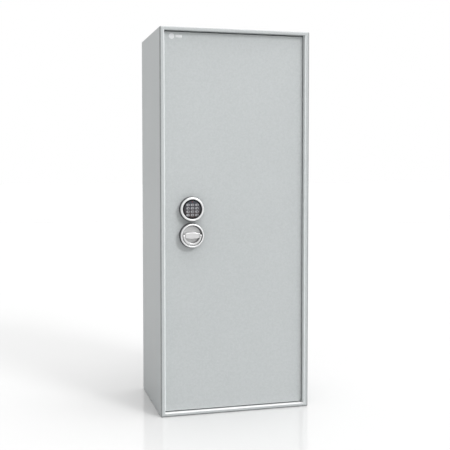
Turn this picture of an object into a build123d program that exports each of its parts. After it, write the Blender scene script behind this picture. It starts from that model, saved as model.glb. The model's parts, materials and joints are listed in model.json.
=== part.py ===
"""Tall single-door cabinet safe with a round keypad, a round handle and a cam-driven boltwork.

Millimetres. X runs to the right, the front faces -Y and Z is up. The origin is the centre
of the base on the floor. The boltwork is drawn withdrawn, with the door shut.
"""

from build123d import *
import os
from math import cos, hypot, pi, radians, sin, tan

os.makedirs("parts", exist_ok=True)

# Cabinet
WIDTH, DEPTH, HEIGHT = 530.0, 380.0, 1320.0
SIDE, FRONT, BACK = WIDTH / 2, -DEPTH / 2, DEPTH / 2
SHEET = 3.0                       # outer sheet steel
UPRIGHT_ROUND, END_ROUND = 5.0, 4.0  # outer bends: the upright edges, and those round top and base
WALL = 20.0                       # double wall: sheet, filling and liner
LINER = 2.0
FACE_SIDE, FACE_END = 16.0, 11.5  # visible frame beside, and above and below, the door
JAMB_X = SIDE - FACE_SIDE
JAMB_LOW, JAMB_HIGH = FACE_END, HEIGHT - FACE_END
BACK_FLANGE = 7.0                 # side and end sheets folded round onto the back sheet

# Door
DOOR_RECESS, DOOR_GAP, DOOR_DEPTH = 18.0, 3.0, 26.0
DOOR_FACE = FRONT + DOOR_RECESS
DOOR_REAR = DOOR_FACE + DOOR_DEPTH
DOOR_X = JAMB_X - DOOR_GAP
DOOR_LOW, DOOR_HIGH = JAMB_LOW + DOOR_GAP, JAMB_HIGH - DOOR_GAP
DOOR_SKIN = 3.0
DOOR_ROUND = 3.0
PLATE_FRONT = DOOR_REAR - DOOR_SKIN

# Stop flange that the shut door lies in front of, and that the bolts hook behind
STOP_FRONT = DOOR_REAR + 4.0
STOP_REAR = STOP_FRONT + SHEET
STOP_X, STOP_LOW, STOP_HIGH = 222.0, 40.0, HEIGHT - 40.0

# Inside of the cabinet
ROOM_X = SIDE - WALL - LINER
ROOM_LOW, ROOM_HIGH = WALL, HEIGHT - WALL
ROOM_BACK = BACK - WALL
SHELF_HOLE_PITCH = 32.0
SHELF_TOPS = [340.0, 660.0, 980.0]
SHELF_X, SHELF_FRONT, SHELF_BACK, SHELF_FOLD, SHELF_SHEET = 236.0, -100.0, 165.0, 25.0, 1.5
RAIL_Y, RAIL_WIDTH, RAIL_THICK = (-80.0, 140.0), 20.0, 2.0

# Anchor holes
ANCHOR_R = 7.0
BACK_ANCHORS = [(x, z) for x in (-150.0, 150.0) for z in (180.0, 1140.0)]
BASE_ANCHORS = [(x, y) for x in (-170.0, 170.0) for y in (-80.0, 120.0)]

# Concealed pivots at the right edge of the door
HINGE_X, HINGE_Y, HINGE_R, RUNNING = 236.0, -163.0, 5.0, 0.05

# Handle, keypad and lock, on one upright line near the door's left edge
LOCK_X = -155.0
HANDLE_Z, KEYPAD_Z = 618.0, 708.0
RING_R, RING_FRONT = 42.0, DOOR_FACE - 24.0
RECESS_R = 35.0
DISH_FACE = DOOR_FACE - 9.0
BAR_FRONT = RING_FRONT + 1.0
BAIL_PIVOT_Y, BAIL_PIN_R = RING_FRONT + 6.0, 2.0
SPINDLE_R, SQUARE = 8.0, 10.0

# Cam disc with three spiral slots: each follower moves THROW while the disc turns TURN
THROW, TURN = 18.0, 80.0
FOLLOWER_START, FOLLOWER_R, SLOT_R = 20.0, 4.0, 4.25
DISC_R, DISC_FRONT, DISC_REAR = 50.0, -142.0, -138.0

# Boltwork
BOLT_Y, BOLT_R = -126.5, 10.0
BAR_FRONT_Y, BAR_REAR_Y = BOLT_Y - 2.5, BOLT_Y + 2.5
BAR_X = (-188.0, -167.0)
SIDE_BOLT_Z = [300.0, 540.0, 780.0, 1020.0]
SIDE_BOLT_TIP, SIDE_BOLT_END = -217.0, -172.0
GUIDE_X = -212.0
ROD_R, END_BOLT_LENGTH = 6.0, 40.0
ROD_TIP_GAP = 5.0                 # between a withdrawn end bolt and the stop flange

# Lock
CASE_X, CASE_Z = (-131.0, -70.0), (671.0, 756.0)
CASE_REAR = DOOR_REAR + 30.0
BLOCK_Y, BLOCK_Z = (-140.0, -132.0), (677.0, 695.0)
CABLE_R, CABLE_Y = 1.75, -137.0
COVER_X, COVER_Z, COVER_REAR, COVER_SHEET = (-206.0, -62.0), (561.0, 767.0), -112.5, 1.5

# Keypad
KEY_SIZE, KEY_PITCH = (11.6, 7.8), (15.4, 11.4)
KEY_GRID_Z = KEYPAD_Z - 2.5
KEYPAD_FACE = RING_FRONT + 2.5
FACE_R, FACE_SHEET = 33.4, 2.5
BOARD_FRONT = RING_FRONT + 7.5


def block(x, y, z):
    """A box between two values along each axis."""
    size = [high - low for low, high in (x, y, z)]
    middle = [(low + high) / 2 for low, high in (x, y, z)]
    return Pos(*middle) * Box(*size)


def bar_along_x(y, z, radius, x_low, x_high):
    return Pos((x_low + x_high) / 2, y, z) * Rot(0, 90, 0) * Cylinder(radius, x_high - x_low)


def bar_along_y(x, z, radius, y_low, y_high):
    return Pos(x, (y_low + y_high) / 2, z) * Rot(90, 0, 0) * Cylinder(radius, y_high - y_low)


def bar_along_z(x, y, radius, z_low, z_high):
    return Pos(x, y, (z_low + z_high) / 2) * Cylinder(radius, z_high - z_low)


def seen_from_front(sketch, x, z, y_rear, thickness):
    """A flat outline, drawn as seen from the front, given thickness towards the front."""
    return Pos(x, y_rear, z) * Rot(90, 0, 0) * extrude(sketch, thickness)


def seen_from_above(sketch, z_low, z_high):
    return Pos(0, 0, z_low) * extrude(sketch, z_high - z_low)


def outline(points):
    return make_face(Polyline(*points, close=True))


def turned(points, x, z):
    """A body of revolution on an axis square to the door, from (radius, y) points."""
    return Pos(x, 0, z) * revolve(outline(points), Axis.Y, 360)


def edges_at_y(shape, y):
    """The edges that lie in the plane at this y."""
    return [e for e in shape.edges() if all(abs(v.Y - y) < 0.01 for v in (e @ 0, e @ 0.5, e @ 1))]


def save(name, *solids):
    shape = solids[0] if len(solids) == 1 else Compound(children=list(solids))
    export_step(shape, f"parts/{name}.step")


# ---------------------------------------------------------------- cabinet

def outer_shell():
    """The whole outer sheet before it is cut into its five welded panels."""
    shell = block((-SIDE, SIDE), (FRONT, BACK), (0, HEIGHT))
    shell = fillet(shell.edges().filter_by(Axis.Z), UPRIGHT_ROUND)
    for end in (0, -1):
        shell = fillet(shell.faces().sort_by(Axis.Z)[end].edges(), END_ROUND)
    inside = SIDE - SHEET
    shell -= block((-inside, inside), (FRONT + SHEET, BACK - SHEET), (SHEET, HEIGHT - SHEET))
    out = JAMB_X + SHEET
    jamb = block((-out, out), (FRONT + SHEET, STOP_FRONT), (JAMB_LOW - SHEET, JAMB_HIGH + SHEET))
    shell += jamb
    shell -= block((-JAMB_X, JAMB_X), (FRONT - 1, STOP_FRONT + 1), (JAMB_LOW, JAMB_HIGH))
    rim = [e for e in edges_at_y(shell, FRONT)
           if abs((e @ 0.5).X) < JAMB_X + 0.1 and JAMB_LOW - 0.1 < (e @ 0.5).Z < JAMB_HIGH + 0.1]
    return fillet(rim, 2.0)


def mitre_sector(corners):
    """What one sheet of the wrap takes in between its mitred joints, over the full depth."""
    return seen_from_front(outline(corners), 0, 0, BACK + 1, DEPTH + 2)


def cabinet_panels():
    shell = outer_shell()
    inset = BACK_FLANGE
    flat_back = block((-SIDE + inset, SIDE - inset), (BACK - SHEET, BACK + 1), (inset, HEIGHT - inset))
    back = shell & flat_back
    for x, z in BACK_ANCHORS:
        back -= bar_along_y(x, z, ANCHOR_R, BACK - 2 * SHEET, BACK + 1)
    wrap = shell - flat_back
    run, beyond = 8.0, SIDE + 5      # the mitre runs at 45 degrees and then straight up to the bend
    seam, low_knee, high_knee = JAMB_X + run, JAMB_LOW - run, JAMB_HIGH + run
    low = [(-seam, 0), (-seam, low_knee), (-JAMB_X, JAMB_LOW)]
    high = [(-JAMB_X, JAMB_HIGH), (-seam, high_knee), (-seam, HEIGHT)]
    left = wrap & mitre_sector([(-beyond, 0), *low, *high, (-beyond, HEIGHT)])
    right = mirror(left, Plane.YZ)
    top = wrap & mitre_sector(high + [(-x, z) for x, z in reversed(high)])
    bottom = wrap & mitre_sector(low + [(-x, z) for x, z in reversed(low)])
    for x, y in BASE_ANCHORS:
        bottom -= bar_along_z(x, y, ANCHOR_R, -1, 2 * SHEET)
    top -= bar_along_z(HINGE_X, HINGE_Y, HINGE_R, JAMB_HIGH - 1, JAMB_HIGH + SHEET + 1)
    bottom -= bar_along_z(HINGE_X, HINGE_Y, HINGE_R, JAMB_LOW - SHEET - 1, JAMB_LOW + 1)
    save("left_side_panel", left)
    save("right_side_panel", right)
    save("top_panel", top)
    save("bottom_panel", bottom)
    save("back_panel", back)


def cabinet_lining():
    """Stop flange, filling between the walls, and the liner sheets of the room."""
    out = JAMB_X + SHEET
    depth, weld_gap = (STOP_FRONT, STOP_REAR), 0.3
    upright = block((-out, -STOP_X), depth, (JAMB_LOW - SHEET, JAMB_HIGH + SHEET))
    across = STOP_X - weld_gap
    save("stop_frame", upright, mirror(upright, Plane.YZ),
         block((-across, across), depth, (STOP_HIGH, JAMB_HIGH + SHEET)),
         block((-across, across), depth, (JAMB_LOW - SHEET, STOP_LOW)))

    inside, room = SIDE - SHEET, ROOM_X + LINER
    filling = block((-inside, inside), (STOP_REAR, BACK - SHEET), (SHEET, HEIGHT - SHEET))
    filling -= block((-room, room), (STOP_REAR - 1, ROOM_BACK + LINER), (ROOM_LOW - LINER, ROOM_HIGH + LINER))
    depth = (STOP_REAR, ROOM_BACK - weld_gap)
    back = block((-room, room), (ROOM_BACK, ROOM_BACK + LINER), (ROOM_LOW - LINER, ROOM_HIGH + LINER))
    side = block((ROOM_X, room), depth, (ROOM_LOW - LINER, ROOM_HIGH + LINER))
    across = ROOM_X - weld_gap
    floor = block((-across, across), depth, (ROOM_LOW - LINER, ROOM_LOW))
    roof = block((-across, across), depth, (ROOM_HIGH, ROOM_HIGH + LINER))
    for x, z in BACK_ANCHORS:
        hole = bar_along_y(x, z, ANCHOR_R, ROOM_BACK - 1, BACK)
        back, filling = back - hole, filling - hole
    for x, y in BASE_ANCHORS:
        hole = bar_along_z(x, y, ANCHOR_R, 0, ROOM_LOW + 1)
        floor, filling = floor - hole, filling - hole
    save("wall_filling", filling)
    save("inner_liner", back, side, mirror(side, Plane.YZ), floor, roof)


def door_pivots():
    """Lugs and pins in the frame; the door turns on the pins at its right edge."""
    x, y = (HINGE_X - 12, HINGE_X + 12), (HINGE_Y - 12, HINGE_Y + 12)
    high, low = JAMB_HIGH + SHEET, JAMB_LOW - SHEET
    lugs = [block(x, y, (high, HEIGHT - SHEET)), block(x, y, (SHEET, low))]
    bore = bar_along_z(HINGE_X, HINGE_Y, HINGE_R, 0, HEIGHT)
    save("hinge_lugs", *[lug - bore for lug in lugs])
    upper = bar_along_z(HINGE_X, HINGE_Y, HINGE_R, DOOR_HIGH - 23.5, HEIGHT - SHEET)
    lower = bar_along_z(HINGE_X, HINGE_Y, HINGE_R, SHEET, DOOR_LOW + 25.5)
    upper = chamfer(upper.edges().group_by(Axis.Z)[0], 1)
    lower = chamfer(lower.edges().group_by(Axis.Z)[-1], 1)
    save("hinge_pins", upper, lower)


def shelf(top):
    """A tray of thin sheet with its four edges folded down."""
    tray = block((-SHELF_X, SHELF_X), (SHELF_FRONT, SHELF_BACK), (top - SHELF_FOLD, top))
    tray = fillet(tray.edges().filter_by(Axis.Z), 3)
    tray = fillet(tray.faces().sort_by(Axis.Z)[-1].edges(), 2)
    t = SHELF_SHEET
    hollow = block((-SHELF_X + t, SHELF_X - t), (SHELF_FRONT + t, SHELF_BACK - t), (0, top - t))
    return tray - fillet(hollow.edges().filter_by(Axis.Z), 1.5)


def shelf_rails():
    """Four slotted strips, two on each side, and the clips that carry the shelves."""
    low, high = STOP_LOW, STOP_HIGH
    slots = int((high - low) // SHELF_HOLE_PITCH)
    first = SHELF_TOPS[1] - SHELF_FOLD - 4.0 - SHELF_HOLE_PITCH * (slots // 2)
    rails, clips = [], []
    for y in RAIL_Y:
        rail = block((ROOM_X - RAIL_THICK, ROOM_X), (y - RAIL_WIDTH / 2, y + RAIL_WIDTH / 2), (low, high))
        holes = [block((ROOM_X - 3, ROOM_X + 1), (y - 5, y + 5), (z - 2, z + 2))
                 for z in (first + SHELF_HOLE_PITCH * n for n in range(slots))]
        rail -= holes
        rails += [rail, mirror(rail, Plane.YZ)]
        for top in SHELF_TOPS:
            seat = top - SHELF_FOLD
            face = ROOM_X - RAIL_THICK
            clip = block((face - 14, face), (y - 6, y + 6), (seat - 2, seat))
            clip += block((face - 1.5, face), (y - 6, y + 6), (seat - 16, seat))
            clips += [clip, mirror(clip, Plane.YZ)]
    save("shelf_rails", *rails)
    save("shelf_clips", *clips)


# ---------------------------------------------------------------- door

def door_leaf():
    """Folded front pan, filling and rear plate, with the bearing blocks of the pivots."""
    inner_x, inner_low, inner_high = DOOR_X - DOOR_SKIN, DOOR_LOW + DOOR_SKIN, DOOR_HIGH - DOOR_SKIN
    skin_rear = DOOR_FACE + DOOR_SKIN
    pan = block((-DOOR_X, DOOR_X), (DOOR_FACE, DOOR_REAR), (DOOR_LOW, DOOR_HIGH))
    pan = fillet(pan.edges().filter_by(Axis.Y), 2)
    pan = fillet(edges_at_y(pan, DOOR_FACE), DOOR_ROUND)
    pan -= block((-inner_x, inner_x), (skin_rear, DOOR_REAR + 1), (inner_low, inner_high))

    x, y = (HINGE_X - 10, inner_x), (skin_rear, PLATE_FRONT)
    blocks = [block(x, y, (inner_high - 28, inner_high)), block(x, y, (inner_low, inner_low + 28))]
    filling = block((-inner_x, inner_x), (skin_rear, PLATE_FRONT), (inner_low, inner_high))
    for bearing in blocks:
        filling -= bearing
    plate = block((-inner_x, inner_x), (PLATE_FRONT, DOOR_REAR), (inner_low, inner_high))

    pan -= bar_along_z(HINGE_X, HINGE_Y, HINGE_R + 0.4, 0, HEIGHT)
    bore = HINGE_R + RUNNING
    upper = blocks[0] - bar_along_z(HINGE_X, HINGE_Y, bore, DOOR_HIGH - 25, HEIGHT)
    lower = blocks[1] - bar_along_z(HINGE_X, HINGE_Y, bore, 0, DOOR_LOW + 25.6)

    bush_hole = bar_along_y(LOCK_X, HANDLE_Z, SPINDLE_R + 3, DOOR_FACE - 1, DOOR_REAR + 1)
    cable_hole = bar_along_y(LOCK_X, KEYPAD_Z, 4, DOOR_FACE - 1, DOOR_REAR + 1)
    screws = [bar_along_y(x, z, 2.65, PLATE_FRONT - 10, DOOR_REAR + 1) for x, z in cover_screw_places()]
    save("door_pan", pan - bush_hole - cable_hole)
    save("door_filling", filling - bush_hole - cable_hole - screws)
    save("door_back_plate", plate - bush_hole - cable_hole - screws)
    save("hinge_blocks", upper, lower)


def dog_bar():
    """Fixed angle on the hinge side that hooks behind the stop flange when the door is shut."""
    x, tip, front, rear = 206.0, 230.0, STOP_REAR + 4.0, STOP_REAR + 10.0
    section = outline([(x, DOOR_REAR), (x + 6, DOOR_REAR), (x + 6, front), (tip, front),
                       (tip, rear), (x, rear)])
    angle = seen_from_above(section, STOP_LOW + 20, STOP_HIGH - 20)
    bend = [e for e in angle.edges().filter_by(Axis.Z) if abs(e.center().X - x) < 0.1]
    save("dog_bar", fillet(max(bend, key=lambda e: e.center().Y), 4))


def bolt_guides():
    """Pierced channel for the side bolts, and four brackets for the two rods."""
    low, high = SIDE_BOLT_Z[0] - 40, SIDE_BOLT_Z[-1] + 40
    foot, upright, reach = (GUIDE_X, BAR_X[0] - 3), (GUIDE_X, GUIDE_X + 2.5), (DOOR_REAR, -110.0)
    channel = block(foot, (DOOR_REAR, DOOR_REAR + 2), (low, high)) + block(upright, reach, (low, high))
    corners = [e for e in channel.edges().filter_by(Axis.X) if abs(e.center().Y - reach[1]) < 0.1]
    channel = fillet(corners, 10)
    for z in SIDE_BOLT_Z:
        channel -= bar_along_x(BOLT_Y, z, BOLT_R + 0.25, GUIDE_X - 1, GUIDE_X + 4)
    save("bolt_guide_channel", channel)

    brackets = []
    for z, radius in ((1258.0, BOLT_R), (932.0, ROD_R), (388.0, ROD_R), (62.0, BOLT_R)):
        half = radius + 4.0
        plate = RectangleRounded(2 * half, 36, 3.5)
        bracket = Pos(LOCK_X, -129.0, z - 2) * extrude(plate, 4)
        bracket &= block((-300, 0), (DOOR_REAR, 0), (z - 2, z + 2))
        inward = 1 if z < HANDLE_Z else -1
        foot_z = sorted((z - 2 * inward, z + 18 * inward))
        bracket += block((LOCK_X - half, LOCK_X + half), (DOOR_REAR, DOOR_REAR + 3), foot_z)
        bracket -= bar_along_z(LOCK_X, BOLT_Y, radius + 0.25, z - 3, z + 3)
        brackets.append(bracket)
    save("rod_guides", *brackets)


def spindle_bush():
    wall = SPINDLE_R + 3
    bush = bar_along_y(LOCK_X, HANDLE_Z, wall, DOOR_FACE, DOOR_REAR + 2)
    bush += bar_along_y(LOCK_X, HANDLE_Z, wall + 5, DOOR_REAR, DOOR_REAR + 2)
    save("spindle_bush", bush - bar_along_y(LOCK_X, HANDLE_Z, SPINDLE_R + RUNNING, -200, 0))


def blank_badge():
    """Plain disc and plain strip at the door's top left corner, with no mark on them."""
    x, z = -DOOR_X + 25.0, DOOR_HIGH - 23.0
    disc = bar_along_y(x, z, 9.5, DOOR_FACE - 0.6, DOOR_FACE)
    strip = seen_from_front(RectangleRounded(20, 9, 2), x + 22, z, DOOR_FACE, 0.6)
    save("blank_badge", disc, strip)


# ---------------------------------------------------------------- handle

def handle_ring():
    """Fixed rosette round the handle: rounded rim, straight recess and a floor."""
    floor = DOOR_FACE - 4
    ring = turned([(SPINDLE_R + 1, DOOR_FACE), (RING_R, DOOR_FACE), (RING_R, RING_FRONT),
                   (RECESS_R, RING_FRONT), (RECESS_R, floor), (SPINDLE_R + 1, floor)], LOCK_X, HANDLE_Z)
    rim = edges_at_y(ring, RING_FRONT)
    outer = [e for e in rim if e.radius > RING_R - 1]
    ring = fillet(outer, 3.5)
    inner = [e for e in edges_at_y(ring, RING_FRONT) if e.radius < RECESS_R + 1]
    save("handle_ring", fillet(inner, 1.5))


def grip_bar_outline():
    """Lens shape: two shallow arcs between blunt rounded ends."""
    half, end, middle = 25.5, 7.6, 11.0
    arcs = ThreePointArc((-half, end), (0, middle), (half, end))
    arcs += Line((half, end), (half, -end))
    arcs += ThreePointArc((half, -end), (0, -middle), (-half, -end))
    arcs += Line((-half, -end), (-half, end))
    lens = make_face(arcs)
    return fillet(lens.vertices(), 4)


def handle_rotor():
    """Dish, grip bar, bail with its two pivot pins, and the spindle through the door."""
    dish = turned([(0, DISH_FACE), (RECESS_R - 2, DISH_FACE), (RECESS_R - 0.4, DISH_FACE + 1.6),
                   (RECESS_R - 0.4, DISH_FACE + 4.5), (0, DISH_FACE + 4.5)], LOCK_X, HANDLE_Z)
    half = SQUARE / 2
    square_hole = block((LOCK_X - half, LOCK_X + half), (-250, -100), (HANDLE_Z - half, HANDLE_Z + half))
    save("handle_dish", dish - square_hole)

    bar = seen_from_front(grip_bar_outline(), LOCK_X, HANDLE_Z, DISH_FACE, DISH_FACE - BAR_FRONT)
    bar = fillet(edges_at_y(bar, BAR_FRONT), 2)
    pins = [bar_along_x(BAIL_PIVOT_Y, HANDLE_Z, BAIL_PIN_R, *sorted((LOCK_X + s * 20, LOCK_X + s * 31)))
            for s in (-1, 1)]
    save("handle_bar", bar - pins)
    save("bail_pins", *pins)

    journal = bar_along_y(LOCK_X, HANDLE_Z, SPINDLE_R, DISH_FACE + 4.5, DOOR_REAR + 2.3)
    square = square_hole & block((-300, 0), (DISH_FACE, DISC_REAR), (0, HEIGHT))
    rivet = bar_along_y(LOCK_X, HANDLE_Z, 7.5, DISC_REAR, DISC_REAR + 3)
    rivet = fillet(edges_at_y(rivet, DISC_REAR + 3), 1.5)
    save("handle_spindle", journal + square + rivet)


def handle_bail():
    """Swing-out crescent, wider at its middle, on two round ears."""
    crescent = Pos(0, -1) * Circle(31.8) - Pos(0, 1.6) * Circle(27)
    crescent &= Pos(0, -20) * Rectangle(80, 40)
    bail = seen_from_front(crescent, LOCK_X, HANDLE_Z, BAR_FRONT + 5, 5)
    for side in (-1, 1):
        ear = sorted((LOCK_X + side * 27.0, LOCK_X + side * 31.7))
        bail += bar_along_x(BAIL_PIVOT_Y, HANDLE_Z, 4.6, *ear)
    bail -= bar_along_x(BAIL_PIVOT_Y, HANDLE_Z, BAIL_PIN_R + RUNNING, LOCK_X - 40, LOCK_X + 40)
    save("handle_bail", bail)


def spiral_slot(start_angle):
    """Slot whose middle line is an Archimedean spiral, so a follower moves in step with the turn.

    The follower stands still at start_angle. While the disc turns anticlockwise, as seen
    from the front, the slot slides past it and its radius grows by THROW over TURN degrees.
    """
    rise = THROW / radians(TURN)

    def place(turn, side):
        angle, radius = radians(start_angle - turn), FOLLOWER_START + rise * radians(turn)
        along_x = rise * cos(angle) + radius * sin(angle)
        along_y = rise * sin(angle) - radius * cos(angle)
        scale = side * SLOT_R / hypot(along_x, along_y)
        return radius * cos(angle) - along_y * scale, radius * sin(angle) + along_x * scale

    def tip(turn, sense):
        (x1, y1), (x2, y2) = place(turn, 1), place(turn, -1)
        middle_x, middle_y = (x1 + x2) / 2, (y1 + y2) / 2
        return middle_x + sense * (y1 - y2) / 2, middle_y - sense * (x1 - x2) / 2

    turns = [TURN * n / 8 for n in range(9)]
    edge = Spline(*[place(t, 1) for t in turns])
    edge += ThreePointArc(place(TURN, 1), tip(TURN, 1), place(TURN, -1))
    edge += Spline(*[place(t, -1) for t in reversed(turns)])
    edge += ThreePointArc(place(0, -1), tip(0, -1), place(0, 1))
    return make_face(edge)


def cam_disc():
    disc = Circle(DISC_R)
    for start in (90, 180, 270):
        disc -= spiral_slot(start)
    disc -= Pos(34, 0) * Circle(7)
    cam = seen_from_front(disc, LOCK_X, HANDLE_Z, DISC_REAR, DISC_REAR - DISC_FRONT)
    cam += bar_along_y(LOCK_X, HANDLE_Z, 12, DOOR_REAR + 2.3, DISC_FRONT)
    half = SQUARE / 2
    cam -= block((LOCK_X - half, LOCK_X + half), (-250, -100), (HANDLE_Z - half, HANDLE_Z + half))
    save("cam_disc", cam)


# ---------------------------------------------------------------- boltwork

def follower(x, z):
    return bar_along_y(x, z, FOLLOWER_R, DISC_FRONT - 0.5, BAR_FRONT_Y)


def side_bolts():
    """Upright bar with four bolts, and the arm that the lock bolt stands behind."""
    low, high = SIDE_BOLT_Z[0] - 20, SIDE_BOLT_Z[-1] + 20
    bar = block(BAR_X, (BAR_FRONT_Y, BAR_REAR_Y), (low, high))
    bar = fillet(bar.edges().filter_by(Axis.Y), 5)
    bar += follower(LOCK_X - FOLLOWER_START, HANDLE_Z)
    bolts = []
    for z in SIDE_BOLT_Z:
        bolt = bar_along_x(BOLT_Y, z, BOLT_R, SIDE_BOLT_TIP, SIDE_BOLT_END)
        bolt = chamfer(bolt.edges().group_by(Axis.X)[0], 2)
        bolts.append(bolt - block((BAR_X[0], 0), (BAR_FRONT_Y, BAR_REAR_Y), (z - 20, z + 20)))
    save("bolt_bar", bar)
    save("lock_side_bolts", *bolts)

    start, tip, thick = BAR_X[0], CASE_X[0] - 2, 4.0
    seat, face = BAR_FRONT_Y, -134.0
    section = outline([(start, seat), (start, seat - thick), (-172, seat - thick),
                       (-167, face - thick), (tip, face - thick), (tip, face),
                       (-164, face), (-169, seat)])
    save("blocking_arm", seen_from_above(section, BLOCK_Z[0] - 3, BLOCK_Z[1] + 3))


def end_rod(direction, stop):
    """Rod, flat cam end with its follower, and the round bolt that leaves the door's end."""
    pin = HANDLE_Z + direction * FOLLOWER_START
    tip = stop - direction * ROD_TIP_GAP
    shoulder = tip - direction * END_BOLT_LENGTH
    flat = sorted((pin - direction * 10, pin + direction * 33))
    rod = block((LOCK_X - 9, LOCK_X + 9), (BAR_FRONT_Y, BAR_REAR_Y), flat)
    rod = fillet(rod.edges().filter_by(Axis.Y), 4)
    rod += bar_along_z(LOCK_X, BOLT_Y, ROD_R, *sorted((pin + direction * 25, shoulder)))
    bolt = bar_along_z(LOCK_X, BOLT_Y, BOLT_R, *sorted((shoulder, tip)))
    ends = bolt.edges().group_by(Axis.Z)
    bolt = chamfer(ends[-1] if direction > 0 else ends[0], 2)
    return rod + bolt + follower(LOCK_X, pin)


# ---------------------------------------------------------------- lock

def lock():
    """Lock case on the rear plate, its bolt, and the lead from the keypad."""
    case = block(CASE_X, (DOOR_REAR, CASE_REAR), CASE_Z)
    case = fillet(case.edges().filter_by(Axis.Y), 4)
    case = fillet(edges_at_y(case, CASE_REAR), 1.5)
    slack, x = 0.15, CASE_X[0]
    y, z = (BLOCK_Y[0] - slack, BLOCK_Y[1] + slack), (BLOCK_Z[0] - slack, BLOCK_Z[1] + slack)
    case -= block((x - 1, x + 42), y, z)
    bolt = block((x - 1.5, x + 40), BLOCK_Y, BLOCK_Z)
    save("lock_case", case)
    save("lock_bolt", fillet(bolt.edges().group_by(Axis.X)[0], 1))

    start, turn, end = (LOCK_X, DOOR_FACE - 3, KEYPAD_Z), (LOCK_X, CABLE_Y, KEYPAD_Z), (x, CABLE_Y, KEYPAD_Z)
    run = x - LOCK_X
    bend = 0.45 * run / tan(radians(45))
    route = FilletPolyline(start, turn, end, radius=bend)
    section = Plane(origin=start, z_dir=(0, 1, 0)) * Circle(CABLE_R)
    cable = sweep(section, path=route)
    print("cable bend radius", round(bend, 1), "volume share",
          round(cable.volume / (pi * CABLE_R**2 * route.length), 3))
    save("lock_cable", cable)


def cover_screw_places():
    return [(x, z) for x in (-132.0, -72.0) for z in (COVER_Z[0] - 7, COVER_Z[1] + 7)]


def mechanism_cover():
    """Folded box over lock and cam, open to the bolt channel, notched for bar and rods."""
    t = COVER_SHEET
    (left, right), (low, high) = COVER_X, COVER_Z
    cover = block((left, right), (DOOR_REAR, COVER_REAR), (low, high))
    cover = fillet(cover.edges().filter_by(Axis.Y).group_by(Axis.X)[-1], 3)
    cover = fillet([e for e in edges_at_y(cover, COVER_REAR) if (e @ 0.5).X > left + 0.1], 2.5)
    cover -= block((left - 1, right - t), (DOOR_REAR - 1, COVER_REAR - t), (low + t, high - t))
    notch_x, notch_y = (left - 1, LOCK_X + 9), (-135.0, -118.0)
    cover -= block(notch_x, notch_y, (low - 1, low + t + 1))
    cover -= block(notch_x, notch_y, (high - t - 1, high + 1))
    channel_foot = (left - 1, BAR_X[0] - 2.8), (DOOR_REAR - 1, DOOR_REAR + 2.2), (low - 1, high + 1)
    cover -= block(*channel_foot)
    tabs = []
    for z_low, z_high in ((low - 14, low), (high, high + 14)):
        tab = block((-142, right), (DOOR_REAR, DOOR_REAR + t), (z_low, z_high))
        tabs.append(tab)
    cover += tabs
    screws = []
    for x, z in cover_screw_places():
        cover -= bar_along_y(x, z, 2.65, DOOR_REAR - 1, DOOR_REAR + 3)
        seat = DOOR_REAR + t
        head = bar_along_y(x, z, 4.75, seat, seat + 3)
        head = fillet(edges_at_y(head, seat + 3), 1.2)
        screws.append(head + bar_along_y(x, z, 2.5, PLATE_FRONT - 6, seat))
    save("mechanism_cover", cover)
    save("fixing_screws", *screws)


# ---------------------------------------------------------------- keypad

def key_places():
    names = ["key_1", "key_2", "key_3", "key_4", "key_5", "key_6", "key_7", "key_8", "key_9",
             "key_star", "key_0", "key_hash"]
    for n, name in enumerate(names):
        column, row = n % 3 - 1, 1.5 - n // 3
        yield name, LOCK_X + column * KEY_PITCH[0], KEY_GRID_Z + row * KEY_PITCH[1]


def keypad_housing():
    """Base cup, bright ring and black face, with the parts they hold."""
    wall, floor, flange_rear = RING_R - 1.5, DOOR_FACE - 2.5, RING_FRONT + 7
    base = turned([(3, DOOR_FACE), (wall, DOOR_FACE), (wall, flange_rear), (wall - 2, flange_rear),
                   (wall - 2, floor), (3, floor)], LOCK_X, KEYPAD_Z)
    save("keypad_base", base)

    lip = RING_FRONT + 4.5
    ring = turned([(wall, DOOR_FACE), (RING_R, DOOR_FACE), (RING_R, RING_FRONT), (FACE_R + 0.1, RING_FRONT),
                   (FACE_R + 0.1, lip), (wall, lip)], LOCK_X, KEYPAD_Z)
    outer = [e for e in edges_at_y(ring, RING_FRONT) if e.radius > RING_R - 1]
    ring = fillet(outer, 3.8)
    inner = [e for e in edges_at_y(ring, RING_FRONT) if e.radius < FACE_R + 1]
    save("keypad_ring", fillet(inner, 1.5))

    back = KEYPAD_FACE + FACE_SHEET
    face = turned([(0, KEYPAD_FACE), (FACE_R - 0.6, KEYPAD_FACE), (FACE_R, KEYPAD_FACE + 0.6),
                   (FACE_R, lip), (wall - 2.2, lip), (wall - 2.2, flange_rear), (FACE_R - 0.4, flange_rear),
                   (FACE_R - 0.4, back), (0, back)], LOCK_X, KEYPAD_Z)
    width, height = KEY_SIZE
    for _, x, z in key_places():
        hole = RectangleRounded(width + 0.3, height + 0.3, 3.1)
        face -= seen_from_front(hole, x, z, back + 1, FACE_SHEET + 2)
    lamp_z = KEYPAD_Z + 25
    face -= bar_along_y(LOCK_X, lamp_z, 2, KEYPAD_FACE - 1, back + 1)
    save("keypad_face", face)
    lamp = bar_along_y(LOCK_X, lamp_z, 2, KEYPAD_FACE - 0.6, back)
    save("led_lens", fillet(edges_at_y(lamp, KEYPAD_FACE - 0.6), 0.5))

    board = bar_along_y(LOCK_X, KEYPAD_Z, wall - 3, BOARD_FRONT, BOARD_FRONT + 1.5)
    save("keypad_board", board)
    cells = [bar_along_z(LOCK_X + n * 11, floor - 6.8, 5.25, KEYPAD_Z - 22, KEYPAD_Z + 22)
             for n in (-1, 0, 1)]
    save("battery_cells", *[fillet(c.edges().filter_by(GeomType.CIRCLE), 0.8) for c in cells])


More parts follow.
